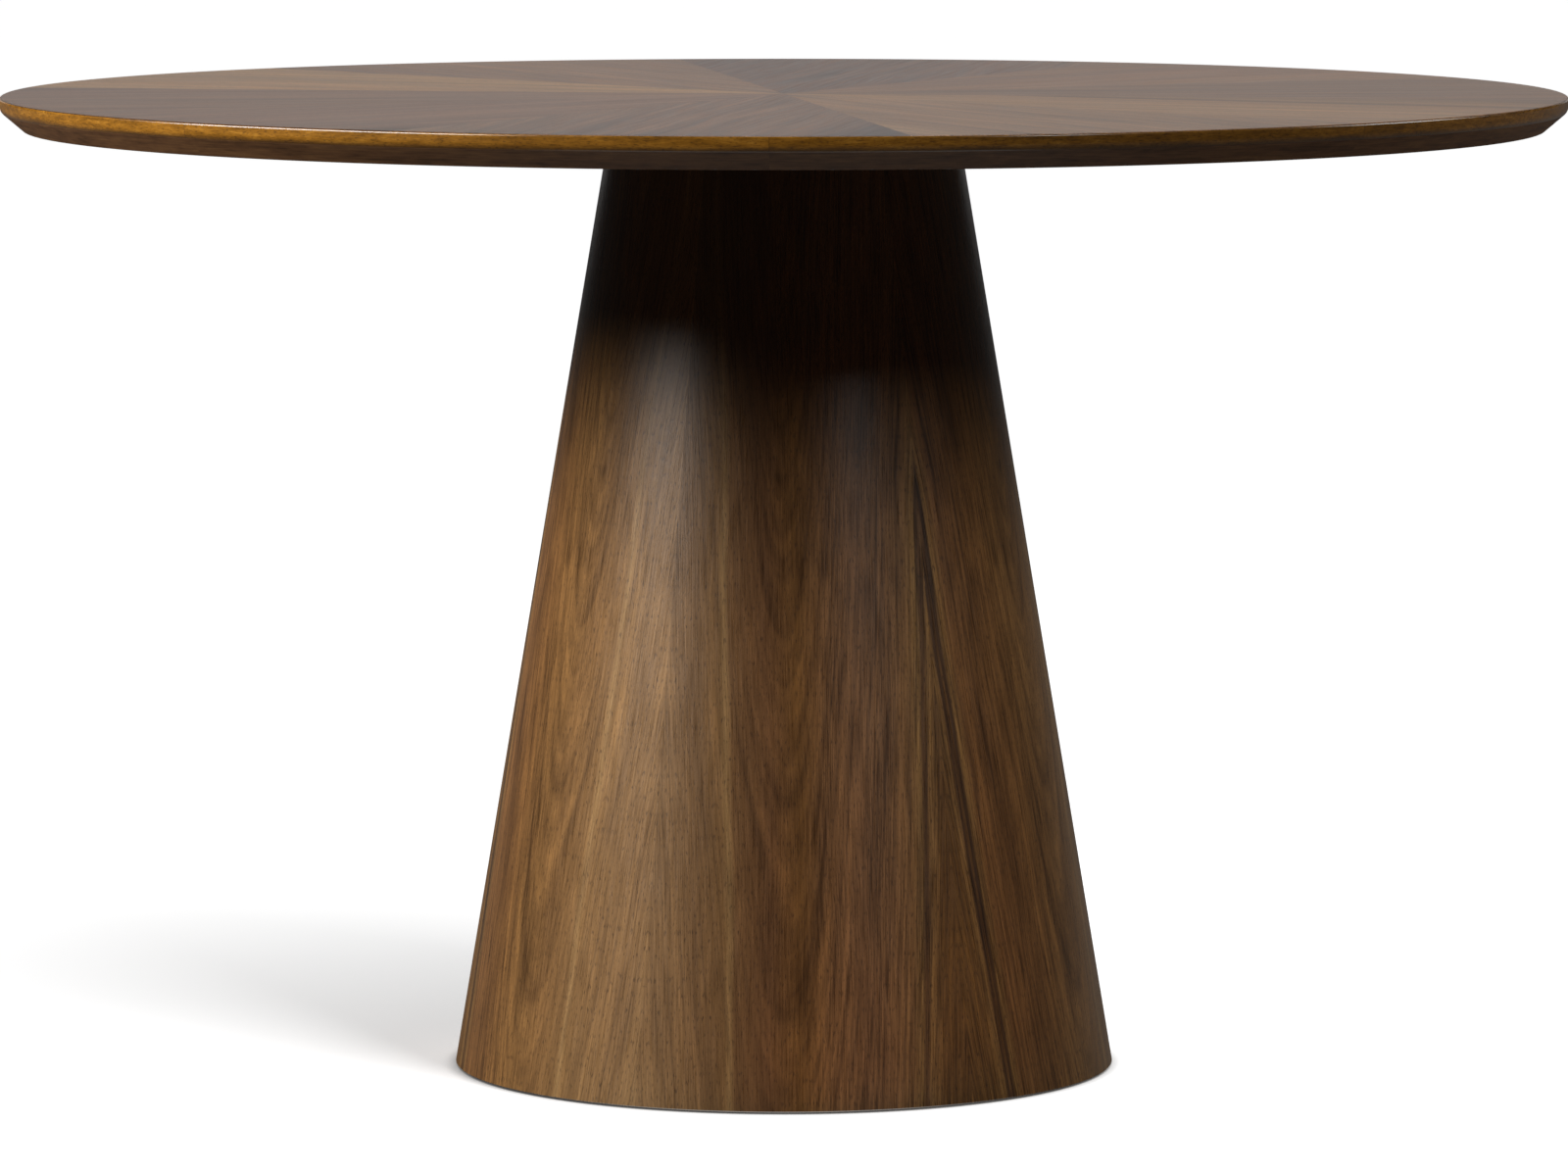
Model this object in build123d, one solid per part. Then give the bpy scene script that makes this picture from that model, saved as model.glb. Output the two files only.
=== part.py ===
from build123d import *
import math
import os

# Round pedestal dining table, in millimetres, +Z up, with the origin on the floor under the middle of the
# top. The top is an MDF core with a radial veneer face, a backing veneer and a solid-wood edge. It is bolted
# from inside onto a conical pedestal: six pressed plywood panels, each faced with one veneer leaf, joined on
# the battens of a frame with rings. A steel ring weighs the pedestal down and four screw levellers carry it.
# Angles are in degrees, counted from +X towards +Y, and -Y is the front.

# Overall
table_height = 762.0
floor_gap = 2.0  # between the pedestal's lower edge and the floor

# Top
top_diameter = 1219.0
top_thickness = 25.4  # with both veneers
band_height = 10.0  # upright face of the edge, down to where the slope would meet it
chamfer_inset = 18.0  # how far the slope under the edge runs in
arris_radius = 2.0  # between the face and the band
crease_radius = 8.0  # between the band and the slope
lipping_land = 11.0  # flat underside of the solid-wood edge, inside the slope
lipping_count = 8
lipping_first_angle = 44.0
veneer_thickness = 0.6
top_leaf_count = 10
top_leaf_first_angle = 26.5

# Pedestal
pedestal_head_diameter = 271.5
pedestal_foot_diameter = 517.0
panel_thickness = 10.0  # square to the slope
panel_count = 6
panel_first_angle = 4.0

# Frame inside the pedestal
head_plate_thickness = 18.0
middle_ring_thickness = 18.0
middle_ring_width = 45.0
middle_ring_height = 370.0  # underside above the floor
base_ring_thickness = 25.0
batten_width = 40.0
batten_depth = 22.0

# Bolts that hold the top
bolt_count = 6
bolt_circle_diameter = 150.0
bolt_diameter = 8.0
bolt_head_diameter = 13.0
bolt_head_height = 8.0
bolt_key_size = 6.0  # across the flats of the socket
bolt_key_depth = 4.0
bolt_bite = 11.0  # length in the insert
bolt_hole_diameter = 9.0
washer_diameter = 24.0
washer_thickness = 1.6
insert_diameter = 12.5
insert_length = 15.0
thread_clearance = 0.05  # on the radius, between a plain shank and its plain nut
seat_clearance = 0.05  # on the radius, between a fastener and its hole in wood

# Ballast
ballast_thickness = 12.0
ballast_width = 50.0
ballast_hole_margin = 10.0  # from the access hole's edge to the ballast
ballast_stem_margin = 12.0  # from the ballast to the levellers' stems
ballast_screw_count = 3
ballast_screw_diameter = 5.0
ballast_screw_head_diameter = 10.0
ballast_screw_bite = 18.0  # length in the base ring

# Levellers
leveller_count = 4
leveller_first_angle = 19.0
pad_diameter = 40.0
pad_rim_height = 4.0
pad_boss_diameter = 18.0
pad_height = 8.0
pad_edge_chamfer = 1.0
pad_wall_margin = 10.0  # from the pad to the panels' inside
button_diameter = 10.0  # flat end of the stem, held inside the pad
button_height = 2.5
button_clearance = 0.08
button_floor = 2.5  # thickness of the pad under it
neck_diameter = 6.0
neck_gap = 1.0  # between the pad and the hexagon
hexagon_size = 13.0  # across the flats
hexagon_height = 4.0
stem_diameter = 8.0
stem_tip_chamfer = 0.8
stem_tip_depth = 1.0  # below the base ring's upper face
stop_gap = 0.3  # between the hexagon and the nut when the leveller is screwed in
nut_flange_diameter = 22.0
nut_flange_thickness = 1.5
nut_barrel_diameter = 10.2
nut_barrel_length = 11.0

# Heights and radii that follow from the sizes above
top_radius = top_diameter / 2
underside = table_height - top_thickness
core_radius = top_radius - chamfer_inset - lipping_land
head_plate_underside = underside - head_plate_thickness
nut_underside = pad_height + neck_gap + hexagon_height + stop_gap
base_ring_underside = nut_underside + nut_flange_thickness
base_ring_top = base_ring_underside + base_ring_thickness
middle_ring_top = middle_ring_height + middle_ring_thickness
pedestal_height = underside - floor_gap
slope = (pedestal_foot_diameter - pedestal_head_diameter) / 2 / pedestal_height
lining_depth = veneer_thickness + panel_thickness


def cone_radius(height, depth=0.0):
    """Radius of the pedestal at a height, at a depth below its outer face, square to the slope."""
    outer = pedestal_foot_diameter / 2 - slope * (height - floor_gap)
    return outer - depth * math.hypot(1, slope)


leveller_circle = cone_radius(floor_gap, lining_depth) - pad_wall_margin - pad_diameter / 2
ballast_outer_radius = leveller_circle - stem_diameter / 2 - ballast_stem_margin
ballast_inner_radius = ballast_outer_radius - ballast_width
access_hole_radius = ballast_inner_radius - ballast_hole_margin


def section(*points):
    """Face in the X-Z plane through (radius, height) points."""
    return make_face(Polyline(*[(x, 0, z) for x, z in points], close=True))


def turned(face, start=0.0, arc=360.0):
    """Solid swept by an X-Z face about the Z axis, from the start angle through the arc."""
    return Rot(0, 0, start) * revolve(face, axis=Axis.Z, revolution_arc=arc)


def slab(inner, outer, bottom, top):
    """Rectangular X-Z face between two radii and two heights."""
    return section((inner, bottom), (outer, bottom), (outer, top), (inner, top))


def angles(count, first=0.0):
    """Evenly spaced angles round the axis."""
    return [first + 360.0 / count * number for number in range(count)]


def placed(shape, radius, directions):
    """Copies of a shape at one radius, one for each direction."""
    return [Rot(0, 0, direction) * Pos(radius, 0, 0) * shape for direction in directions]


def tube(outer_diameter, bore_diameter, bottom, height):
    """Plain tube on the Z axis."""
    return turned(slab(bore_diameter / 2, outer_diameter / 2, bottom, bottom + height))


# Top

def top_section():
    """Half section of the whole top: flat, rounded arris, upright band, rounded crease, slope, underside."""
    corners = [
        (0, 0, table_height),
        (top_radius, 0, table_height),
        (top_radius, 0, table_height - band_height),
        (top_radius - chamfer_inset, 0, underside),
        (0, 0, underside),
    ]
    face = make_face(Polyline(*corners, close=True))
    for corner, radius in ((corners[1], arris_radius), (corners[2], crease_radius)):
        face = fillet(face.vertices().sort_by_distance(corner)[0], radius)
    return face


def top_layer(bottom, top, inner=0.0):
    """Part of the top's half section between two heights, outside an inner radius."""
    return top_section() & slab(inner, top_radius, bottom, top)


def make_top():
    """Core, backing, the radial leaves of the face and the sawn arcs of the solid-wood edge."""
    core_bottom = underside + veneer_thickness
    core_top = table_height - veneer_thickness
    insert_hole = Cylinder(
        insert_diameter / 2 + seat_clearance,
        insert_length,
        align=(Align.CENTER, Align.CENTER, Align.MIN),
    )
    insert_holes = placed(Pos(0, 0, underside) * insert_hole, bolt_circle_diameter / 2, bolt_angles)
    pieces = {
        "top_core": turned(slab(0, core_radius, core_bottom, core_top)) - insert_holes,
        "top_backing_veneer": turned(top_layer(underside, core_bottom)) - insert_holes,
    }
    face = top_layer(core_top, table_height)
    for number, seam in enumerate(angles(top_leaf_count, top_leaf_first_angle), 1):
        pieces[f"top_leaf_{number:02d}"] = turned(face, seam, 360 / top_leaf_count)
    edge = top_layer(core_bottom, core_top, core_radius)
    for number, joint in enumerate(angles(lipping_count, lipping_first_angle), 1):
        pieces[f"edge_lipping_{number:02d}"] = turned(edge, joint, 360 / lipping_count)
    return pieces


# Pedestal skin

def wall_section(depth, thickness):
    """Section of one layer of the conical wall, at a depth below its outer face."""
    inner = depth + thickness
    return section(
        (cone_radius(floor_gap, depth), floor_gap),
        (cone_radius(underside, depth), underside),
        (cone_radius(underside, inner), underside),
        (cone_radius(floor_gap, inner), floor_gap),
    )


def make_skin():
    """Pressed panels that meet over the battens, each with its veneer leaf."""
    panel = wall_section(veneer_thickness, panel_thickness)
    veneer = wall_section(0, veneer_thickness)
    pieces = {}
    for number, joint in enumerate(batten_angles, 1):
        pieces[f"pedestal_panel_{number:02d}"] = turned(panel, joint, 360 / panel_count)
        pieces[f"pedestal_leaf_{number:02d}"] = turned(veneer, joint, 360 / panel_count)
    return pieces


# Frame inside the pedestal

def lining_section(bottom, top, inner):
    """Section of a bevelled disc or ring that fits inside the panels."""
    return section(
        (inner, bottom),
        (cone_radius(bottom, lining_depth), bottom),
        (cone_radius(top, lining_depth), top),
        (inner, top),
    )


def batten():
    """Batten along the slope at angle 0, through all three rings, its back rounded to the panels."""
    low = cone_radius(base_ring_underside, lining_depth)
    high = cone_radius(underside, lining_depth)
    strip = section(
        (low - batten_depth, base_ring_underside),
        (low + batten_depth, base_ring_underside),
        (high + batten_depth, underside),
        (high - batten_depth, underside),
    )
    inside = turned(lining_section(base_ring_underside, underside, 0))
    return extrude(strip, amount=batten_width / 2, both=True) & inside


def ballast_screws(clearance=0.0):
    """Countersunk screws through the ballast ring into the base ring. A clearance gives their holes."""
    shank = ballast_screw_diameter / 2 + clearance
    head = ballast_screw_head_diameter / 2 + clearance
    top = base_ring_top + ballast_thickness
    tip = base_ring_top - ballast_screw_bite
    screw = turned(section((0, top), (head, top), (shank, top + shank - head), (shank, tip), (0, tip)))
    radius = (ballast_inner_radius + ballast_outer_radius) / 2
    return placed(screw, radius, angles(ballast_screw_count, between_battens))


def make_frame():
    """Battens let into the head plate, middle ring and base ring, and the ballast ring with its screws."""
    bolt_hole = Pos(0, 0, head_plate_underside) * Cylinder(
        bolt_hole_diameter / 2,
        head_plate_thickness,
        align=(Align.CENTER, Align.CENTER, Align.MIN),
    )
    nut_hole = Pos(0, 0, base_ring_underside) * Cylinder(
        nut_barrel_diameter / 2 + seat_clearance,
        base_ring_thickness,
        align=(Align.CENTER, Align.CENTER, Align.MIN),
    )
    bolt_holes = placed(bolt_hole, bolt_circle_diameter / 2, bolt_angles)
    nut_holes = placed(nut_hole, leveller_circle, leveller_angles)
    ballast_holes = ballast_screws(seat_clearance)

    battens = [Rot(0, 0, direction) * batten() for direction in batten_angles]
    head_plate = turned(lining_section(head_plate_underside, underside, 0))
    middle_inner = cone_radius(middle_ring_height, lining_depth) - middle_ring_width
    middle_ring = turned(lining_section(middle_ring_height, middle_ring_top, middle_inner))
    base_ring = turned(lining_section(base_ring_underside, base_ring_top, access_hole_radius))
    ballast_top = base_ring_top + ballast_thickness
    ballast = turned(slab(ballast_inner_radius, ballast_outer_radius, base_ring_top, ballast_top))

    pieces = {
        "head_plate": head_plate - battens - bolt_holes,
        "middle_ring": middle_ring - battens,
        "base_ring": base_ring - battens - nut_holes - ballast_holes,
        "ballast_ring": ballast - ballast_holes,
        "ballast_screws": Compound(ballast_screws()),
    }
    for number, piece in enumerate(battens, 1):
        pieces[f"batten_{number:02d}"] = piece
    return pieces


# Bolts, washers and inserts that hold the top

def make_bolts():
    """Socket-head bolts pointing up through the head plate into threaded inserts in the core."""
    seat = head_plate_underside - washer_thickness
    grip = washer_thickness + head_plate_thickness + bolt_bite
    head = Cylinder(bolt_head_diameter / 2, bolt_head_height, align=(Align.CENTER, Align.CENTER, Align.MAX))
    shank = Cylinder(bolt_diameter / 2, grip, align=(Align.CENTER, Align.CENTER, Align.MIN))
    key = extrude(RegularPolygon(bolt_key_size / 2, 6, major_radius=False), amount=bolt_key_depth)
    bolt = head + shank - Pos(0, 0, -bolt_head_height) * key
    washer = tube(washer_diameter, bolt_hole_diameter, seat, washer_thickness)
    insert = tube(insert_diameter, bolt_diameter + 2 * thread_clearance, underside, insert_length)
    radius = bolt_circle_diameter / 2
    return {
        "top_bolts": Compound(placed(Pos(0, 0, seat) * bolt, radius, bolt_angles)),
        "top_bolt_washers": Compound(placed(washer, radius, bolt_angles)),
        "threaded_inserts": Compound(placed(insert, radius, bolt_angles)),
    }


# Levellers

def leveller_pad():
    """Round foot with a raised boss and a closed seat for the stem's button."""
    rim = pad_diameter / 2
    boss = pad_boss_diameter / 2
    seat = button_diameter / 2 + button_clearance
    mouth = neck_diameter / 2 + button_clearance
    ceiling = button_floor + button_height + 2 * button_clearance
    return turned(section(
        (0, 0),
        (rim - pad_edge_chamfer, 0),
        (rim, pad_edge_chamfer),
        (rim, pad_rim_height),
        (boss, pad_height),
        (mouth, pad_height),
        (mouth, ceiling),
        (seat, ceiling),
        (seat, button_floor),
        (0, button_floor),
    ))


def leveller_stem():
    """Button, neck, hexagon for a spanner and a plain shank in place of the thread."""
    hexagon_bottom = pad_height + neck_gap
    hexagon_top = hexagon_bottom + hexagon_height
    tip = base_ring_top - stem_tip_depth
    shank = stem_diameter / 2
    button_bottom = button_floor + button_clearance
    button = turned(slab(0, button_diameter / 2, button_bottom, button_bottom + button_height))
    neck = turned(slab(0, neck_diameter / 2, button_bottom, hexagon_bottom))
    hexagon = extrude(RegularPolygon(hexagon_size / 2, 6, major_radius=False), amount=hexagon_height)
    thread = turned(section(
        (0, hexagon_top),
        (shank, hexagon_top),
        (shank, tip - stem_tip_chamfer),
        (shank - stem_tip_chamfer, tip),
        (0, tip),
    ))
    return button + neck + Pos(0, 0, hexagon_bottom) * hexagon + thread


def flanged_nut():
    """Nut driven up into the base ring, its flange against the ring's underside."""
    bore = stem_diameter / 2 + thread_clearance
    barrel = nut_barrel_diameter / 2
    flange = nut_flange_diameter / 2
    return turned(section(
        (bore, nut_underside),
        (flange, nut_underside),
        (flange, base_ring_underside),
        (barrel, base_ring_underside),
        (barrel, base_ring_underside + nut_barrel_length),
        (bore, base_ring_underside + nut_barrel_length),
    ))


def make_levellers():
    """One pad and one stem for each leveller, and all their nuts together."""
    pieces = {"leveller_nuts": Compound(placed(flanged_nut(), leveller_circle, leveller_angles))}
    pads = placed(leveller_pad(), leveller_circle, leveller_angles)
    stems = placed(leveller_stem(), leveller_circle, leveller_angles)
    for number, (pad, stem) in enumerate(zip(pads, stems), 1):
        pieces[f"leveller_pad_{number}"] = pad
        pieces[f"leveller_stem_{number}"] = stem
    return pieces


batten_angles = angles(panel_count, panel_first_angle)
between_battens = panel_first_angle + 180 / panel_count
bolt_angles = angles(bolt_count, between_battens)
leveller_angles = angles(leveller_count, leveller_first_angle)

parts = {**make_top(), **make_skin(), **make_frame(), **make_bolts(), **make_levellers()}

os.makedirs("parts", exist_ok=True)
for name, shape in parts.items():
    export_step(shape, f"parts/{name}.step")
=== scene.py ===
import math
import bmesh
import bpy
import numpy as np
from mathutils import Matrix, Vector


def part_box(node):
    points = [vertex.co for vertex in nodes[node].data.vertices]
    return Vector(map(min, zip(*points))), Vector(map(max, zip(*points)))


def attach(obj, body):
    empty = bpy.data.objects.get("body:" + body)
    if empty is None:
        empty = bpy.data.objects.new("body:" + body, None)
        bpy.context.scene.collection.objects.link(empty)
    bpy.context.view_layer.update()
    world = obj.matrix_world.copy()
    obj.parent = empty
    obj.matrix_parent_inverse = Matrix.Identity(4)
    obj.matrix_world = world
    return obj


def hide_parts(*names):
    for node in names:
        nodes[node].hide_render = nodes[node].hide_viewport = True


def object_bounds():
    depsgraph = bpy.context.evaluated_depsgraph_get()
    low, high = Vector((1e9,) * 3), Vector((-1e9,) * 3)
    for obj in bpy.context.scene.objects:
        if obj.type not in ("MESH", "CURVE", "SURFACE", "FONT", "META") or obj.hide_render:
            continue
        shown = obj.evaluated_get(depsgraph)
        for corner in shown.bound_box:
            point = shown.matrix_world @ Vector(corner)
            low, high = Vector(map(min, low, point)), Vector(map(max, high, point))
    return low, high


# A round walnut pedestal table, dressed from the floor up in the order in which it is put together. Metres,
# +Z up, -Y is the front. Angles are in degrees, counted from +X towards +Y.
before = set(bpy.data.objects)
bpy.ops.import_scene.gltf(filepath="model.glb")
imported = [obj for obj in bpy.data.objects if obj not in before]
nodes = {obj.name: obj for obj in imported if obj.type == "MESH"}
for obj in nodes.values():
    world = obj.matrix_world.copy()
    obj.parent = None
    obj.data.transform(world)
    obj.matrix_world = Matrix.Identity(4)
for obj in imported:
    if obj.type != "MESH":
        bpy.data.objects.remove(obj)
cad_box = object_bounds()


# Levellers
# Four moulded nylon pads snapped onto zinc-plated M8 stems with a hexagon for a spanner. The stems turn in
# zinc-plated flanged nuts driven up into the base ring.

def linear(colour):
    """sRGB hex, such as 8a6b4c, to linear RGBA: c / 12.92 up to 0.04045, above it ((c + 0.055) / 1.055) to
    the power 2.4."""
    parts = np.array([int(colour[at:at + 2], 16) for at in (0, 2, 4)]) / 255
    parts = np.where(parts <= 0.04045, parts / 12.92, ((parts + 0.055) / 1.055) ** 2.4)
    return (*parts.tolist(), 1.0)


def add(tree, kind, settings=None, values=None, links=None, stops=()):
    """Add a shader node: settings are its properties, values its inputs, links the sockets that feed them,
    and stops the (position, sRGB hex) pairs of a colour ramp."""
    made = tree.nodes.new("ShaderNode" + kind)
    for name, value in (settings or {}).items():
        setattr(made, name, value)
    for name, value in (values or {}).items():
        made.inputs[name].default_value = value
    for name, socket in (links or {}).items():
        tree.links.new(socket, made.inputs[name])
    if stops:
        elements = made.color_ramp.elements
        elements[0].position, elements[0].color = stops[0][0], linear(stops[0][1])
        elements[1].position, elements[1].color = stops[-1][0], linear(stops[-1][1])
        for position, colour in stops[1:-1]:
            elements.new(position).color = linear(colour)
    return made


def new_material(name, roughness, **constants):
    """Material with an empty tree, an output and a Principled shader, with constants set on its sockets."""
    material = bpy.data.materials.new(name)
    material.use_nodes = True
    tree = material.node_tree
    tree.nodes.clear()
    shader = add(tree, "BsdfPrincipled", values={"Roughness": roughness, **constants})
    add(tree, "OutputMaterial", links={"Surface": shader.outputs[0]})
    return material, tree, shader


def grains(tree, place, size, seed, detail=2.0, distortion=0.0):
    """Noise with grains of the given size in metres: the place divided by the size and moved by the seed."""
    scaled = add(tree, "Mapping", values={
        "Scale": tuple(1 / length for length in size),
        "Location": (seed * 1.3, seed * 2.1, seed * 3.7),
    }, links={"Vector": place})
    noise = add(tree, "TexNoise", values={"Scale": 1.0, "Detail": detail, "Distortion": distortion}, links={
        "Vector": scaled.outputs[0],
    })
    return noise.outputs[0]


def weighed(tree, centre, *terms):
    """Sum of patterns about a centre: each pattern less a half, times its weight."""
    total = None
    start = centre - sum(weight for pattern, weight in terms) / 2
    for pattern, weight in terms:
        if total is None:
            step = add(tree, "Math", {"operation": "MULTIPLY_ADD"}, {1: weight, 2: start}, {0: pattern})
        else:
            step = add(tree, "Math", {"operation": "MULTIPLY_ADD"}, {1: weight}, {0: pattern, 2: total})
        total = step.outputs[0]
    return total


def dress(material, *names):
    """Give CAD nodes a material in place of their plain one."""
    for name in names:
        nodes[name].data.materials.clear()
        nodes[name].data.materials.append(material)


def moulded_nylon():
    """Black polyamide, injection moulded: matt, with its mould's fine spark-eroded grain, 0.5 mm across."""
    material, tree, shader = new_material("moulded_nylon", 0.55)
    place = add(tree, "TexCoord").outputs["Object"]
    grain = grains(tree, place, (0.0005, 0.0005, 0.0005), 1.0)
    bump = add(tree, "Bump", values={"Strength": 0.25, "Distance": 0.0001}, links={"Height": grain})
    colour = add(tree, "ValToRGB", links={0: grain}, stops=((0.3, "191919"), (0.7, "222223")))
    tree.links.new(colour.outputs[0], shader.inputs["Base Color"])
    tree.links.new(bump.outputs[0], shader.inputs["Normal"])
    return material


def zinc_plated_steel():
    """Cold-headed steel, bright zinc plated: cool grey metal with a cloudy, slightly uneven sheen."""
    material, tree, shader = new_material("zinc_plated_steel", 0.32, Metallic=1.0)
    place = add(tree, "TexCoord").outputs["Object"]
    cloud = grains(tree, place, (0.006, 0.006, 0.006), 2.0, 4.0)
    rough = weighed(tree, 0.34, (cloud, 0.25))
    colour = add(tree, "ValToRGB", links={0: cloud}, stops=((0.3, "aeb2b7"), (0.7, "c4c7ca")))
    tree.links.new(colour.outputs[0], shader.inputs["Base Color"])
    tree.links.new(rough, shader.inputs["Roughness"])
    return material


pads = [name for name in nodes if name.startswith("leveller_pad")]
stems = [name for name in nodes if name.startswith("leveller_stem")]
zinc = zinc_plated_steel()
dress(moulded_nylon(), *pads)
dress(zinc, *stems, "leveller_nuts")


# Ballast
# A ring flame-cut from 12 mm plate and primed black. It lies on the base ring, where three countersunk wood
# screws hold it, and keeps the table from tipping.

def primed_steel():
    """Hot-rolled plate under black primer: dull and faintly mottled, the mill scale showing as low bumps."""
    material, tree, shader = new_material("primed_steel", 0.6)
    place = add(tree, "TexCoord").outputs["Object"]
    scale = grains(tree, place, (0.012, 0.012, 0.012), 4.0, 6.0)
    bump = add(tree, "Bump", values={"Strength": 0.3, "Distance": 0.0004}, links={"Height": scale})
    colour = add(tree, "ValToRGB", links={0: scale}, stops=((0.3, "17181a"), (0.7, "2c2d30")))
    tree.links.new(colour.outputs[0], shader.inputs["Base Color"])
    tree.links.new(bump.outputs[0], shader.inputs["Normal"])
    return material


dress(primed_steel(), "ballast_ring")
dress(zinc, "ballast_screws")


# Frame and panels
# Head plate, middle ring and base ring are sawn from birch plywood, and the six battens let into them are
# planed pine. The panels are birch plies pressed to the cone and glued over the battens.

def birch_plywood():
    """Rotary-cut birch plywood: pale flaming faces, and on sawn edges the glue lines between 1.4 mm plies."""
    material, tree, shader = new_material("birch_plywood", 0.62)
    place = add(tree, "TexCoord").outputs["Object"]
    figure = grains(tree, place, (0.09, 0.008, 0.05), 5.0, 5.0, 0.6)
    face = add(tree, "ValToRGB", links={0: figure}, stops=((0.3, "b48f62"), (0.7, "d2b184"))).outputs[0]
    height = add(tree, "SeparateXYZ", links={0: place}).outputs[2]
    plies = add(tree, "Math", {"operation": "PINGPONG"}, {1: 0.0014}, {0: height})
    line = add(tree, "MapRange", values={1: 0.00115, 2: 0.0014, 3: 0.0, 4: 0.75}, links={0: plies.outputs[0]})
    facing = add(tree, "SeparateXYZ", links={0: add(tree, "NewGeometry").outputs["Normal"]}).outputs[2]
    level = add(tree, "Math", {"operation": "ABSOLUTE"}, links={0: facing})
    edge = add(tree, "MapRange", values={1: 0.9, 2: 0.4}, links={0: level.outputs[0]})
    shade = add(tree, "Math", {"operation": "MULTIPLY"}, links={0: line.outputs[0], 1: edge.outputs[0]})
    colour = add(tree, "Mix", {"data_type": "RGBA"}, {7: linear("6e4d2e")}, {0: shade.outputs[0], 6: face})
    tree.links.new(colour.outputs[2], shader.inputs["Base Color"])
    return material


def planed_pine():
    """Planed pine: pale yellow earlywood, with darker latewood lines 4 mm apart along the batten."""
    material, tree, shader = new_material("planed_pine", 0.58)
    place = add(tree, "TexCoord").outputs["Object"]
    rings = grains(tree, place, (0.004, 0.004, 0.25), 6.0, 3.0)
    colour = add(tree, "ValToRGB", links={0: rings}, stops=((0.35, "b98b52"), (0.6, "ddbc87")))
    tree.links.new(colour.outputs[0], shader.inputs["Base Color"])
    return material


panels = [name for name in nodes if name.startswith("pedestal_panel")]
battens = [name for name in nodes if name.startswith("batten")]
dress(birch_plywood(), "head_plate", "middle_ring", "base_ring", *panels)
dress(planed_pine(), *battens)


# Pedestal veneer
# Six leaves of American walnut, 0.6 mm thick and book-matched, so that each mirrors the next across its seam.
# The grain runs parallel to the middle line of a leaf, sanded fine and finished with satin lacquer.

def outline(corners, radii, steps=9):
    """Closed outline through corners. A corner with a radius becomes an arc between its tangent points,
    start + (centre - start)(1 - cos) + arrival * radius * sin, with a point 0.3 mm before and after it."""
    corners = np.array(corners, dtype=float)
    points = []
    for before, here, after, radius in zip(np.roll(corners, 1, 0), corners, np.roll(corners, -1, 0), radii):
        arrive = (here - before) / np.linalg.norm(here - before)
        leave = (after - here) / np.linalg.norm(after - here)
        if radius == 0:
            points.append(here[None, :])
            continue
        turn = math.acos(float(np.clip(arrive @ leave, -1, 1)))
        start = here - arrive * radius * math.tan(turn / 2)
        end = here + leave * radius * math.tan(turn / 2)
        inward = leave - arrive * float(arrive @ leave)
        centre = start + inward / np.linalg.norm(inward) * radius
        sweep = np.linspace(0, turn, steps)[:, None]
        arc = centre + (start - centre) * np.cos(sweep) + arrive * radius * np.sin(sweep)
        points.extend([start[None, :] - arrive * 0.0003, arc, end[None, :] + leave * 0.0003])
    points = np.concatenate(points)
    return np.concatenate([points, points[:1]])


def turned(line, start, span, steps):
    """Outline of (radius, height) turned about the axis: at each angle, radius times its cosine and sine.
    Gives points[angle, outline, xyz], and the angle in radians and the radius of each."""
    angle, radius = np.meshgrid(np.radians(start + np.linspace(0, span, steps)), line[:, 0], indexing="ij")
    height = np.broadcast_to(line[:, 1], radius.shape)
    return np.stack([radius * np.cos(angle), radius * np.sin(angle), height], axis=-1), angle, radius


def piece_of(name, points, across, along):
    """Closed piece from points[angle, outline]: a quad between each four neighbours and a cap at each end.
    The UV map named wood holds across and along, the place on the wood in metres."""
    rows, columns = points.shape[:2]
    index = np.arange(rows * columns).reshape(rows, columns)
    quads = np.stack([index[:-1, :-1], index[:-1, 1:], index[1:, 1:], index[1:, :-1]], axis=-1).reshape(-1, 4)
    caps = [index[0, -2::-1], index[-1, :-1]]
    mesh = bpy.data.meshes.new(name)
    mesh.from_pydata(points.reshape(-1, 3), [], quads.tolist() + [cap.tolist() for cap in caps])
    corners = np.concatenate([quads.ravel(), *caps])
    uv = np.stack([across.ravel()[corners], along.ravel()[corners]], axis=-1)
    mesh.uv_layers.new(name="wood").data.foreach_set("uv", uv.ravel().astype(np.float32))
    joined = bmesh.new()
    joined.from_mesh(mesh)
    bmesh.ops.remove_doubles(joined, verts=joined.verts, dist=1e-6)
    joined.to_mesh(mesh)
    joined.free()
    sharp_from = 25
    mesh.shade_smooth()
    mesh.set_sharp_from_angle(angle=math.radians(sharp_from))
    piece = bpy.data.objects.new(name, mesh)
    bpy.context.scene.collection.objects.link(piece)
    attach(piece, "root")
    return piece


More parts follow.
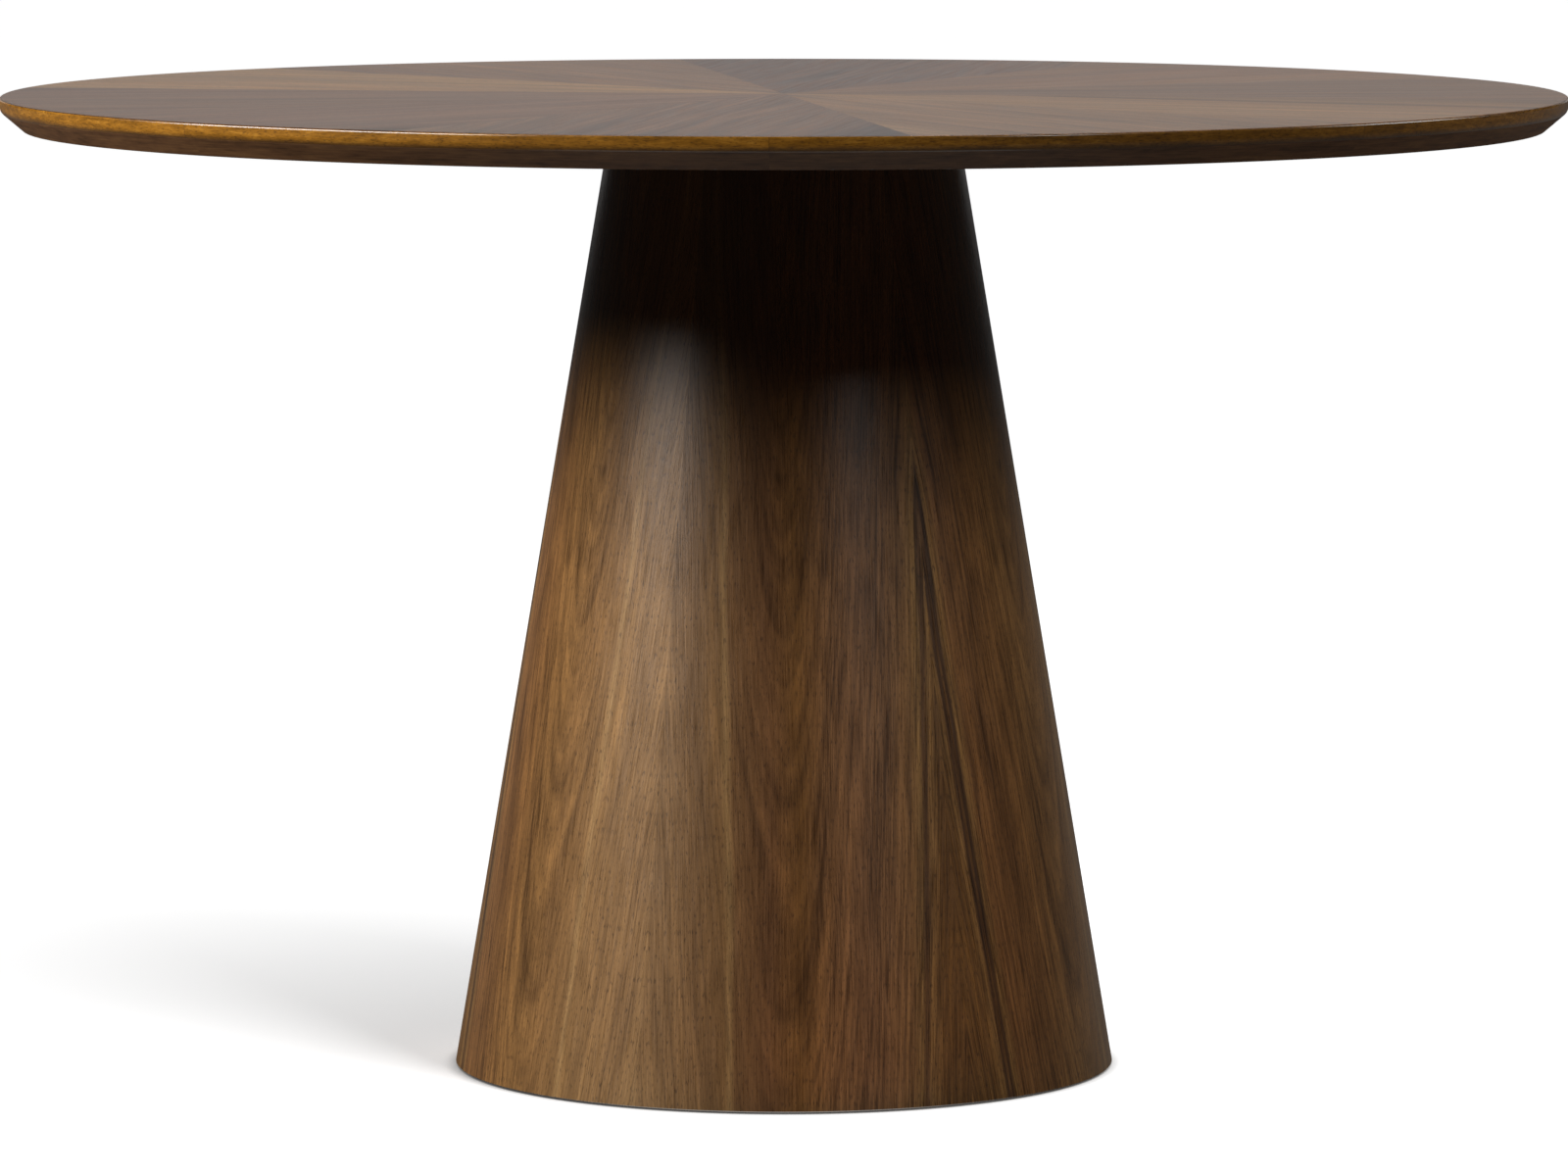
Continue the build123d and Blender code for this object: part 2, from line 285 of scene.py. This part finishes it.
def walnut_veneer(name, seed, half_width, heart, heart_depth, taper, lines, roughness, gloss, calm, quiet):
    """Walnut veneer under satin lacquer. The growth rings show where the leaf cuts them, at the square root
    of (across - heart) squared + depth squared, where the depth grows along the leaf by the taper: straight
    lines at the sides and a pointed cathedral at the heart. Over them lie smoky patches, fibres and open
    pores. Grain is as many times longer, and smoke as many times fainter, as the leaf is calm. Up to the
    quiet part of its width, from 0 to 1, a leaf has three fifths of the figure that it has beyond."""
    material, tree, shader = new_material(name, roughness, **{"IOR": 1.5, "Specular IOR Level": gloss})
    wood = add(tree, "UVMap", {"uv_map": "wood"}).outputs[0]
    slow = grains(tree, wood, (0.070, 0.300, 1.0), seed, 1.0)
    quick = grains(tree, wood, (0.016, 0.110, 1.0), seed + 3, 1.0)
    drift = weighed(tree, 0.0, (slow, 0.014), (quick, 0.0025))
    apart = add(tree, "SeparateXYZ", links={0: wood})
    across = add(tree, "Math", {"operation": "ADD"}, links={0: apart.outputs[0], 1: drift}).outputs[0]
    along = apart.outputs[1]
    off_heart = add(tree, "Math", {"operation": "SUBTRACT"}, {1: heart}, {0: across})
    depth = add(tree, "Math", {"operation": "MULTIPLY_ADD"}, {1: taper, 2: heart_depth}, {0: along})
    off_squared = add(tree, "Math", {"operation": "MULTIPLY"}, links={
        0: off_heart.outputs[0],
        1: off_heart.outputs[0],
    })
    squared = add(tree, "Math", {"operation": "MULTIPLY_ADD"}, links={
        0: depth.outputs[0],
        1: depth.outputs[0],
        2: off_squared.outputs[0],
    })
    ring = add(tree, "Math", {"operation": "SQRT"}, links={0: squared.outputs[0]})
    rings = add(tree, "CombineXYZ", links={0: ring.outputs[0], 1: along, 2: across}).outputs[0]
    drawn = add(tree, "CombineXYZ", links={0: across, 1: along}).outputs[0]
    bands = grains(tree, rings, (0.016, 0.60, 0.10), seed + 5, 1.0)
    streaks = grains(tree, rings, (0.0045, 0.30, 0.05), seed + 7)
    threads = grains(tree, rings, (0.0016, 0.150 * calm, 0.04), seed + 9)
    fibres = grains(tree, drawn, (0.0009, 0.040 * calm, 1.0), seed + 11)
    smoke = grains(tree, drawn, (0.014, 0.060 * calm, 1.0), seed + 13, 3.0, 0.5)
    tone = weighed(
        tree, 0.5, (bands, 0.40), (streaks, 0.50), (threads, 0.95), (fibres, 1.0), (smoke, 0.65 / calm),
    )
    place = add(tree, "MapRange", values={1: -half_width, 2: half_width}, links={0: across})
    ground = add(tree, "ValToRGB", links={0: place.outputs[0]}, stops=lines).outputs[0]
    calmed = add(tree, "MapRange", values={1: quiet - 0.1, 2: quiet + 0.1, 3: 0.75, 4: 1.25}, links={
        0: place.outputs[0],
    })
    level = add(tree, "Mix", {"clamp_factor": False}, {2: 0.5}, {0: calmed.outputs[0], 3: tone})
    shade = add(tree, "ValToRGB", links={0: level.outputs[0]}, stops=(
        (0.12, "8d8780"), (0.38, "bcb7b0"), (0.62, "dad6ce"), (0.90, "fffaee"),
    )).outputs[0]
    shaded = add(
        tree, "Mix", {"data_type": "RGBA", "blend_type": "MULTIPLY"}, {0: 1.0}, {6: ground, 7: shade},
    )
    # Open pores, 0.2 mm wide and 6 mm long, are drawn 0.9 mm wide so that they show.
    ticks = grains(tree, drawn, (0.0009, 0.006, 1.0), seed + 17, 1.0)
    pores = add(tree, "MapRange", values={1: 0.58, 2: 0.72, 3: 0.0, 4: 0.65}, links={0: ticks})
    colour = add(tree, "Mix", {"data_type": "RGBA"}, {7: linear("2a1a10")}, {
        0: pores.outputs[0],
        6: shaded.outputs[2],
    })
    relief = weighed(tree, 0.0, (fibres, 0.5), (threads, 0.3), (ticks, -0.8))
    bump = add(tree, "Bump", values={"Strength": 0.35, "Distance": 0.0003}, links={"Height": relief})
    tree.links.new(colour.outputs[2], shader.inputs["Base Color"])
    tree.links.new(weighed(tree, roughness, (fibres, 0.24)), shader.inputs["Roughness"])
    tree.links.new(bump.outputs[0], shader.inputs["Normal"])
    return material


# A straight line from foot to head. The veneer lies on the panels, square to the slope.
veneer = 0.0006
pedestal_leaves = sorted(name for name in nodes if name.startswith("pedestal_leaf"))
foot_radius = 0.5170 / 2
head_radius = 0.2715 / 2
foot_height = min(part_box(name)[0].z for name in pedestal_leaves)
head_height = max(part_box(name)[1].z for name in pedestal_leaves)
half_angle = math.atan2(foot_radius - head_radius, head_height - foot_height)
inset = veneer / math.cos(half_angle)
pedestal_joint = 4.0
pedestal_span = 360 / len(pedestal_leaves)
line_steps = 25
heights = np.linspace(head_height, foot_height, line_steps)
radii = np.linspace(head_radius, foot_radius, line_steps)
pedestal_line = np.concatenate([
    np.stack([radii, heights], axis=-1),
    np.stack([radii[::-1] - inset, heights[::-1]], axis=-1),
    [(head_radius, head_height)],
])
# Book-matched, the fibres of every other leaf lean the other way and take the light differently.
pedestal_lines = (
    (
        (0.00, "9e7a50"), (0.10, "9a764c"), (0.19, "8a6843"), (0.27, "82613c"), (0.288, "98774d"),
        (0.305, "7c5a38"), (0.40, "765233"), (0.48, "80592f"), (0.57, "8f6640"), (0.66, "966c47"),
        (0.74, "9a7048"), (0.80, "a07649"), (0.832, "ac8450"), (0.843, "775534"), (0.851, "775534"),
        (0.862, "a67d4b"), (0.900, "926838"), (0.912, "73512c"), (0.918, "926838"), (0.934, "73512c"),
        (0.940, "926838"), (1.00, "8f6537"),
    ),
    (
        (0.00, "a88458"), (0.10, "a78052"), (0.27, "a37c4e"), (0.288, "b38d5d"), (0.305, "9f784b"),
        (0.40, "9a7246"), (0.48, "976f42"), (0.56, "966d40"), (0.64, "91673c"), (0.74, "90653b"),
        (0.80, "95683c"), (0.832, "a97f4a"), (0.841, "5c3f25"), (0.848, "5c3f25"), (0.853, "8a6237"),
        (0.858, "5c3f25"), (0.864, "5c3f25"), (0.872, "a87e4a"), (0.900, "946a38"), (0.912, "73512c"),
        (0.918, "946a38"), (0.934, "73512c"), (0.940, "946a38"), (1.00, "916738"),
    ),
)
pedestal_walnut = [
    walnut_veneer(
        f"pedestal_walnut_veneer_{hand}", seed=3.0, half_width=0.14, heart=-0.015, heart_depth=-0.050,
        taper=-0.075, lines=lines, roughness=0.31, gloss=0.66, calm=1.0, quiet=0.45,
    )
    for hand, lines in zip(("left", "right"), pedestal_lines)
]
leaf_pieces = []
back_pieces = []
back_ends = 184
for number, name in enumerate(pedestal_leaves):
    first = pedestal_joint + number * pedestal_span
    points, angle, radius = turned(pedestal_line, first, pedestal_span, 49)
    # Laid flat, a point is at its distance from the cone's tip, turned by its angle times the sine of
    # the half angle.
    from_tip = radius / math.sin(half_angle)
    flat_angle = (angle - math.radians(first + pedestal_span / 2)) * math.sin(half_angle)
    side = 1 if number % 2 == 0 else -1
    across = side * from_tip * np.sin(flat_angle)
    along = -from_tip * np.cos(flat_angle)
    leaf = piece_of(name.replace("leaf", "veneer"), points, across, along)
    leaf.data.materials.append(pedestal_walnut[number % 2])
    leaf_pieces.append(leaf)
    if first + pedestal_span <= back_ends:
        back_pieces.append(leaf)
    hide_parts(name)


# Bolts for the top
# Six zinc-plated M8 socket-head bolts with washers pass up through the head plate into threaded inserts.
dress(zinc, "top_bolts", "top_bolt_washers", "threaded_inserts")


# Core of the top
# A disc of medium-density fibreboard, with a backing veneer below that balances the face.

def fibreboard():
    """Medium-density fibreboard: even tan fibre, a little darker in flecks a millimetre across."""
    material, tree, shader = new_material("fibreboard", 0.8)
    place = add(tree, "TexCoord").outputs["Object"]
    fleck = grains(tree, place, (0.001, 0.001, 0.001), 8.0, 3.0)
    colour = add(tree, "ValToRGB", links={0: fleck}, stops=((0.3, "8d6f4e"), (0.7, "a98a64")))
    tree.links.new(colour.outputs[0], shader.inputs["Base Color"])
    return material


def backing_veneer():
    """Plain-sliced backing veneer, stained dark and sealed thin: straight grain, low sheen."""
    material, tree, shader = new_material("backing_veneer", 0.55, IOR=1.5)
    place = add(tree, "TexCoord").outputs["Object"]
    bands = grains(tree, place, (0.9, 0.022, 1.0), 11.0)
    streaks = grains(tree, place, (0.4, 0.004, 1.0), 12.0)
    fibres = grains(tree, place, (0.03, 0.0011, 1.0), 13.0)
    tone = weighed(tree, 0.5, (bands, 0.9), (streaks, 0.8), (fibres, 0.5))
    colour = add(tree, "ValToRGB", links={0: tone}, stops=((0.2, "3a281c"), (0.5, "543c2b"), (0.8, "6b503a")))
    tree.links.new(colour.outputs[0], shader.inputs["Base Color"])
    return material


dress(fibreboard(), "top_core")
dress(backing_veneer(), "top_backing_veneer")


# Edge of the top
# Eight sawn arcs of solid wood glued round the core, end to end, and turned to one section: rounded arris,
# upright band and a deep slope under it. Stained amber brown and lacquered, darker on the slope.

def stained_wood(name, seed, crease, arc_length):
    """Solid wood sawn along a curve and stained amber: short cloudy figure, open pores as dark flecks, and
    stain darker in the joints at both ends. Towards the crease it is darkened: painted shade."""
    material, tree, shader = new_material(name, 0.22, **{"IOR": 1.5, "Specular IOR Level": 0.45})
    wood = add(tree, "UVMap", {"uv_map": "wood"}).outputs[0]
    clouds = grains(tree, wood, (0.055, 0.006, 1.0), seed, 3.0, 0.4)
    figure = grains(tree, wood, (0.011, 0.0035, 1.0), seed + 2, 3.0)
    fibres = grains(tree, wood, (0.006, 0.0009, 1.0), seed + 4)
    tone = weighed(tree, 0.5, (clouds, 0.8), (figure, 0.6), (fibres, 0.5))
    band = add(tree, "ValToRGB", links={0: tone}, stops=(
        (0.15, "442a0a"), (0.42, "66420d"), (0.60, "784f14"), (0.85, "8f6422"),
    )).outputs[0]
    height = add(tree, "SeparateXYZ", links={0: add(tree, "TexCoord").outputs["Object"]}).outputs[2]
    # From 2 mm above the crease, along a wavy line, the band is darkened where it rounds under towards the
    # slope: painted shade.
    wavy = add(tree, "Math", {"operation": "ADD"}, links={0: height, 1: weighed(tree, 0.0, (clouds, 0.002))})
    painted_crease_shade_share = add(tree, "MapRange", values={1: crease + 0.002, 2: crease - 0.002, 4: 0.75}, links={
        0: wavy.outputs[0],
    })
    band_with_painted_crease_shade = add(tree, "Mix", {"data_type": "RGBA"}, {7: linear("3f2810")}, {0: painted_crease_shade_share.outputs[0], 6: band})
    along = add(tree, "SeparateXYZ", links={0: wood}).outputs[0]
    end = add(tree, "Math", {"operation": "PINGPONG"}, {1: arc_length / 2}, {0: along})
    joint = add(tree, "MapRange", values={1: 0.0002, 2: 0.0007, 3: 0.35, 4: 0.0}, links={0: end.outputs[0]})
    joined = add(tree, "Mix", {"data_type": "RGBA"}, {7: linear("241509")}, {
        0: joint.outputs[0],
        6: band_with_painted_crease_shade.outputs[2],
    })
    # Flecks of 0.3 mm are drawn 0.9 mm high and 3 mm long so that they show.
    flecks = grains(tree, wood, (0.003, 0.0009, 1.0), seed + 6, 1.0)
    dark = add(tree, "MapRange", values={1: 0.56, 2: 0.72, 3: 0.0, 4: 0.55}, links={0: flecks})
    colour = add(tree, "Mix", {"data_type": "RGBA"}, {7: linear("22150a")}, {
        0: dark.outputs[0],
        6: joined.outputs[2],
    })
    tree.links.new(colour.outputs[2], shader.inputs["Base Color"])
    return material


def dark_slope(name, seed):
    """The same wood under the edge, stained brown and only sealed: long soft streaks, little sheen."""
    material, tree, shader = new_material(name, 0.5, **{"IOR": 1.5, "Specular IOR Level": 0.1})
    wood = add(tree, "UVMap", {"uv_map": "wood"}).outputs[0]
    clouds = grains(tree, wood, (0.070, 0.008, 1.0), seed, 3.0, 0.4)
    streaks = grains(tree, wood, (0.030, 0.0018, 1.0), seed + 2)
    figure = grains(tree, wood, (0.011, 0.0040, 1.0), seed + 4, 3.0)
    tone = weighed(tree, 0.5, (clouds, 0.8), (streaks, 0.7), (figure, 0.5))
    colour = add(tree, "ValToRGB", links={0: tone}, stops=((0.2, "472f1b"), (0.5, "65452b"), (0.8, "795635")))
    tree.links.new(colour.outputs[0], shader.inputs["Base Color"])
    return material


top_radius = cad_box[1][0]
table_height = cad_box[1][2]
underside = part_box("top_backing_veneer")[0].z
core_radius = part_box("top_core")[1].x
band_height = 0.010
slope_inset = 0.018
arris_radius = 0.002
crease_radius = 0.008
crease = table_height - band_height
slope_stain = crease - 0.0015
edge_names = sorted(name for name in nodes if name.startswith("edge_lipping"))
edge_joint = 44.0
edge_span = 360 / len(edge_names)
# The face veneer covers the first part of the arris, so the edge starts where the veneer ends.
veneer_turn = math.acos((arris_radius - veneer) / arris_radius)
arris = np.stack([
    top_radius - arris_radius + arris_radius * np.sin(np.linspace(veneer_turn, math.pi / 2, 9)),
    table_height - arris_radius + arris_radius * np.cos(np.linspace(veneer_turn, math.pi / 2, 9)),
], axis=-1)
lower = outline(
    [
        (top_radius, table_height - arris_radius - 0.0003),
        (top_radius, crease),
        (top_radius - slope_inset, underside),
        (core_radius, underside),
        (core_radius, table_height - veneer),
    ],
    (0, crease_radius, 0.0006, 0, 0),
)[:-1]
edge_line = np.concatenate([arris, lower, arris[:1]])
run = np.concatenate([[0], np.cumsum(np.linalg.norm(np.diff(edge_line, axis=0), axis=1))])
edge_pieces = []
for number, name in enumerate(edge_names):
    points, angle, radius = turned(edge_line, edge_joint + number * edge_span, edge_span, 91)
    along = top_radius * (angle - angle[0, 0])
    across = np.broadcast_to(run, angle.shape)
    arc = piece_of(name.replace("lipping", "band"), points, along, across)
    edge_name = f"stained_edge_wood_{number + 1:02d}"
    arc.data.materials.append(stained_wood(edge_name, 30.0 + 7 * number, crease, along.max()))
    arc.data.materials.append(dark_slope(f"stained_slope_wood_{number + 1:02d}", 33.0 + 7 * number))
    for face in arc.data.polygons:
        face.material_index = int(face.center.z < slope_stain and len(face.vertices) == 4)
    edge_pieces.append(arc)
    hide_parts(name)


# Face of the top
# Ten walnut leaves in a sunburst, 36 degrees each, laid over the core and the edge and rolled over the
# arris. The grain runs parallel to a leaf's middle line, so it meets its neighbour's in a V at the seam.
# Satin lacquer.
face_leaves = sorted(name for name in nodes if name.startswith("top_leaf"))
face_seam = 26.5
face_span = 360 / len(face_leaves)
flat_radii = np.concatenate([np.linspace(0, top_radius - 0.010, 12), [top_radius - arris_radius - 0.0003]])
over = np.linspace(0, veneer_turn, 7)
face_line = np.concatenate([
    np.stack([flat_radii, np.full(flat_radii.size, table_height)], axis=-1),
    np.stack([
        top_radius - arris_radius + arris_radius * np.sin(over),
        table_height - arris_radius + arris_radius * np.cos(over),
    ], axis=-1),
    [(0, table_height - veneer), (0, table_height)],
])
face_lines = (
    ((0.0, "b38358"), (0.3, "a97850"), (0.6, "9e6f4c"), (1.0, "a67852")),
    ((0.0, "ac8060"), (0.2, "8b624a"), (0.6, "7d563f"), (1.0, "795340")),
    ((0.0, "9f714c"), (0.5, "a97a53"), (0.9, "9f6f48"), (0.97, "65432c"), (1.0, "9b6c46")),
    ((0.0, "c5945e"), (0.4, "cf9d66"), (0.7, "ca9660"), (1.0, "d4a36c")),
    ((0.0, "8b624a"), (0.2, "9b6f52"), (0.6, "a77a5a"), (1.0, "9d7152")),
    ((0.0, "a97b5a"), (0.4, "9e7154"), (0.8, "a6785a"), (0.96, "684730"), (1.0, "986c50")),
    ((0.0, "a1785a"), (0.4, "9b7156"), (0.75, "966c4f"), (0.85, "704e3a"), (0.95, "614230"), (1.0, "8f674c")),
    ((0.0, "9f7454"), (0.1, "ce9e6c"), (0.2, "a6784f"), (0.5, "b3845a"), (1.0, "aa7c4f")),
    ((0.0, "bc8d60"), (0.4, "c59462"), (0.62, "ba8858"), (0.66, "724e2f"), (0.7, "b38352"), (1.0, "7b5638")),
    ((0.0, "9b6f4e"), (0.5, "9f7452"), (1.0, "966b4a")),
)
face_pieces = []
for number, (name, lines) in enumerate(zip(face_leaves, face_lines)):
    first = face_seam + number * face_span
    points, angle, radius = turned(face_line, first, face_span, 73)
    off_middle = angle - math.radians(first + face_span / 2)
    leaf = piece_of(
        name.replace("leaf", "veneer"), points,
        radius * np.sin(off_middle), radius * np.cos(off_middle),
    )
    leaf.data.materials.append(walnut_veneer(
        f"face_walnut_veneer_{number + 1:02d}", seed=80.0 + 7 * number, half_width=0.20, heart=0.02,
        heart_depth=0.03, taper=0.0, lines=lines, roughness=0.36, gloss=0.5, calm=2.0, quiet=-1.0,
    ))
    face_pieces.append(leaf)
    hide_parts(name)


# Studio
# Pale floor and a faint even surround. Tall soft boxes at both sides of the front and a narrow one between
# them light the pedestal, one behind gives the top its sheen, and the floor, the face and the edge have
# their own.

def pale_floor():
    """Matt pale floor. To the camera, and faintly to mirrors, it glows: fully from 1.05 m, less and less
    nearer the table. So it is white but for the table's shadow and a painted contact shade over the last
    few millimetres to what stands on it. From below it is clear, to show the table's underside."""
    material, tree, shader = new_material("pale_floor", 0.9, **{"Specular IOR Level": 0.0})
    mirror_share = 0.08
    contact_reach = 0.012
    shadow_near, shadow_glow = 0.33, 0.64
    shadow_far = 1.05
    path = add(tree, "LightPath")
    mirrors = add(tree, "Math", {"operation": "MAXIMUM"}, links={
        0: path.outputs["Is Glossy Ray"],
        1: path.outputs["Is Transmission Ray"],
    })
    dimmed = add(tree, "Math", {"operation": "MULTIPLY"}, {1: mirror_share}, {0: mirrors.outputs[0]})
    seen = add(tree, "Math", {"operation": "MAXIMUM"}, links={
        0: path.outputs["Is Camera Ray"],
        1: dimmed.outputs[0],
    })
    # Ambient occlusion within 12 mm darkens the floor's colour and glow next to what stands on it: painted
    # contact shade.
    painted_contact_shade = add(tree, "AmbientOcclusion", {"samples": 8}, {"Distance": contact_reach}).outputs["AO"]
    lit = add(tree, "Math", {"operation": "MULTIPLY"}, links={0: seen.outputs[0], 1: painted_contact_shade})
    colour = add(tree, "Mix", {"data_type": "RGBA"}, {6: linear("191818"), 7: linear("f4f4f4")}, {
        0: lit.outputs[0],
    })
    place = add(tree, "TexCoord").outputs["Object"]
    distance = add(tree, "VectorMath", {"operation": "LENGTH"}, links={0: place})
    glow = add(tree, "MapRange", values={1: shadow_near, 2: shadow_far, 3: shadow_glow, 4: 1.0}, links={
        0: distance.outputs[1],
    })
    lift = add(tree, "Math", {"operation": "MULTIPLY"}, links={0: glow.outputs[0], 1: lit.outputs[0]})
    shader.inputs["Emission Color"].default_value = (1, 1, 1, 1)
    tree.links.new(colour.outputs[2], shader.inputs["Base Color"])
    tree.links.new(lift.outputs[0], shader.inputs["Emission Strength"])
    below = add(tree, "NewGeometry").outputs["Backfacing"]
    clear = add(tree, "BsdfTransparent").outputs[0]
    sided = add(tree, "MixShader", links={0: below, 1: shader.outputs[0], 2: clear})
    tree.links.new(sided.outputs[0], tree.nodes["Material Output"].inputs[0])
    return material


floor_half = 60.0
floor_mesh = bpy.data.meshes.new("floor")
floor_corners = np.array([(-1, -1, 0), (1, -1, 0), (1, 1, 0), (-1, 1, 0)]) * floor_half
floor_mesh.from_pydata(floor_corners, [], [(0, 1, 2, 3)])
floor = bpy.data.objects.new("floor", floor_mesh)
bpy.context.scene.collection.objects.link(floor)
floor.data.materials.append(pale_floor())

world = bpy.data.worlds.new("surround")
world.use_nodes = True
world.node_tree.nodes.clear()
world_path = add(world.node_tree, "LightPath")
world_mirrors = add(world.node_tree, "Math", {"operation": "MAXIMUM"}, links={
    0: world_path.outputs["Is Glossy Ray"],
    1: world_path.outputs["Is Transmission Ray"],
})
fill, mirrored = 0.003, 0.014
dim = add(world.node_tree, "MapRange", values={3: fill, 4: mirrored}, links={0: world_mirrors.outputs[0]})
white = add(world.node_tree, "Math", {"operation": "MAXIMUM"}, links={
    0: dim.outputs[0],
    1: world_path.outputs["Is Camera Ray"],
})
around = add(world.node_tree, "Background", values={0: (1, 1, 1, 1)}, links={1: white.outputs[0]})
add(world.node_tree, "OutputWorld", links={0: around.outputs[0]})
bpy.context.scene.world = world


def soft_box(name, azimuth, distance, low, high, width, radiance, lit=None, fade=0.0):
    """Upright soft box facing the table, at an azimuth counted from the front towards the right. Its power is
    four times its area times the radiance. It lights what a collection links to it, and over the part of its
    height given as fade it grows from nothing at its lower edge to full strength."""
    light = bpy.data.lights.new(name, "AREA")
    light.shape = "RECTANGLE"
    light.size = width
    light.size_y = high - low
    light.energy = 4 * width * (high - low) * radiance
    lamp = bpy.data.objects.new(name, light)
    turn = math.radians(azimuth)
    lamp.location = (distance * math.sin(turn), -distance * math.cos(turn), (low + high) / 2)
    lamp.rotation_euler = (math.radians(90), 0, turn)
    lamp.visible_camera = False
    lamp.light_linking.receiver_collection = lit
    bpy.context.scene.collection.objects.link(lamp)
    if fade:
        light.use_nodes = True
        light.node_tree.nodes.clear()
        place = add(light.node_tree, "NewGeometry").outputs["Parametric"]
        rise = add(light.node_tree, "SeparateXYZ", links={0: place}).outputs[1]
        strength = add(light.node_tree, "MapRange", values={2: fade}, links={0: rise})
        glow = add(light.node_tree, "Emission", links={"Strength": strength.outputs[0]})
        add(light.node_tree, "OutputLight", links={0: glow.outputs[0]})
    return lamp


def linked(name, pieces, state="INCLUDE"):
    """Collection that links a lamp to these pieces alone, or with EXCLUDE to all but these."""
    collection = bpy.data.collections.new(name)
    for piece in pieces:
        collection.objects.link(piece)
    for item in collection.collection_objects:
        item.light_linking.link_state = state
    return collection


# The side boxes are flagged off the floor, the face and the edge of the top, which have lamps of their own.
# Two more light the back of the pedestal and what is seen from below, and one the foot, as a warm floor
# would.
flagged = linked("flagged_off", [floor, *face_pieces, *edge_pieces], "EXCLUDE")
narrow = linked("flagged_off_the_narrow_one", [floor, *face_pieces], "EXCLUDE")
clear_floor = linked("clear_floor", [floor], "EXCLUDE")
dressed = ("top_leaf", "pedestal_leaf", "edge_lipping")
underneath = [nodes[name] for name in nodes if not name.startswith(dressed)] + edge_pieces
soft_box(
    "soft_box_left", azimuth=-67, distance=2.75, low=1.40, high=2.62, width=1.32, radiance=31.5, lit=flagged,
    fade=0.3,
)
soft_box(
    "soft_box_right", azimuth=74, distance=2.80, low=1.56, high=2.82, width=0.92, radiance=12, lit=flagged,
    fade=0.6,
)
soft_box(
    "soft_box_narrow", azimuth=37, distance=2.85, low=1.66, high=2.50, width=0.47, radiance=11, lit=narrow,
)
soft_box("soft_box_behind", azimuth=180, distance=4.0, low=0.7, high=2.5, width=3.8, radiance=0.42)
soft_box(
    "soft_box_back", azimuth=180, distance=2.8, low=1.5, high=2.5, width=1.2, radiance=12,
    lit=linked("lit_from_the_back", back_pieces),
)
soft_box(
    "soft_box_floor", azimuth=35, distance=3.0, low=1.2, high=2.8, width=1.4, radiance=17,
    lit=linked("lit_floor", [floor]),
)
overhead = soft_box(
    "soft_box_above", azimuth=0, distance=0.0, low=1.9, high=3.9, width=2.0, radiance=2.6,
    lit=linked("lit_from_above", face_pieces),
)
overhead.rotation_euler = (0, 0, 0)
lowest = soft_box(
    "soft_box_below", azimuth=0, distance=0.0, low=-2.4, high=-0.6, width=1.8, radiance=0.7,
    lit=linked("lit_from_below", underneath),
)
lowest.rotation_euler = (math.radians(180), 0, 0)
lowest.light_linking.blocker_collection = clear_floor
bounce_azimuth = 8
bounce = soft_box(
    "soft_box_bounce", azimuth=bounce_azimuth, distance=0.39, low=-0.108, high=0.112, width=0.9,
    radiance=0.38, lit=linked("lit_at_the_foot", leaf_pieces),
)
bounce.rotation_euler = (math.radians(180), 0, math.radians(bounce_azimuth))
bounce.data.color = (1.0, 0.58, 0.38)
rim = linked("lit_at_the_rim", edge_pieces)
soft_box("soft_box_rim_left", azimuth=-68, distance=2.7, low=1.5, high=2.5, width=2.8, radiance=22, lit=rim)
soft_box("soft_box_rim_right", azimuth=98, distance=2.9, low=1.5, high=2.5, width=1.4, radiance=6.5, lit=rim)

camera_data = bpy.data.cameras.new("camera")
camera_data.sensor_width = 36.0
camera_data.lens = 199.0
camera_data.clip_end = 200.0
camera = bpy.data.objects.new("camera", camera_data)
camera.location = (0.0, -6.76, 1.0934)
downward = 6.07
camera.rotation_euler = (math.radians(90 - downward), 0, 0)
bpy.context.scene.collection.objects.link(camera)
bpy.context.scene.camera = camera
bpy.context.scene.view_settings.view_transform = "Standard"
